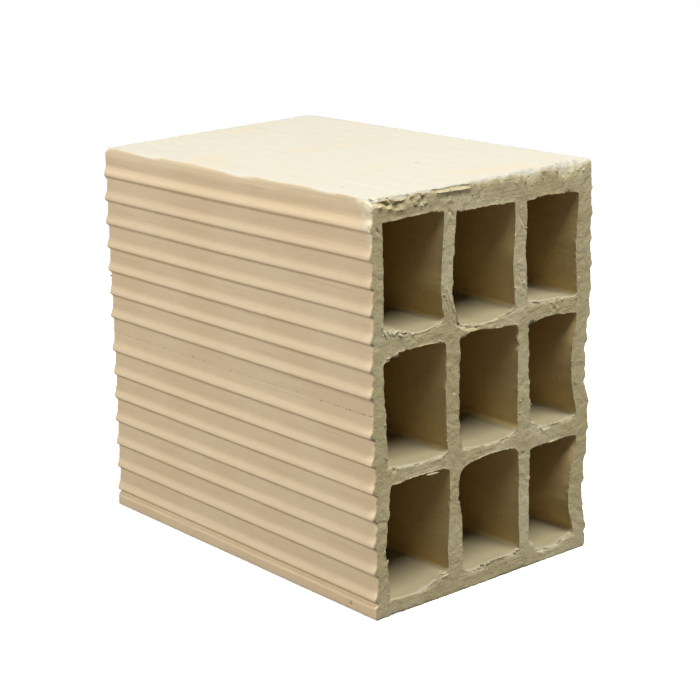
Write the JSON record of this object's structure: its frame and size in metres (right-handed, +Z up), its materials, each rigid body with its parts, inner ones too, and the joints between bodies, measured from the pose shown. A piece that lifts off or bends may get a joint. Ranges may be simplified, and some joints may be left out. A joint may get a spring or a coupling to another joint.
{
  "type": "hollow clay block",
  "caption": "Fired-clay hollow building block with straight through cells and ribbed faces, laid with its cells level in light walls and floors.",
  "frame": {"origin": "middle of the underside, on the ground plane", "axes": "+X across the cut end, +Y along the cells, +Z up; the side with the deeper ribs faces -X"},
  "size_m": [0.145, 0.222, 0.2],
  "materials": {
    "fired_clay": "matt sandy fired clay, buff"
  },
  "bodies": {
    "root": {"hollow_clay_block": "fired_clay"}
  },
  "joints": []
}
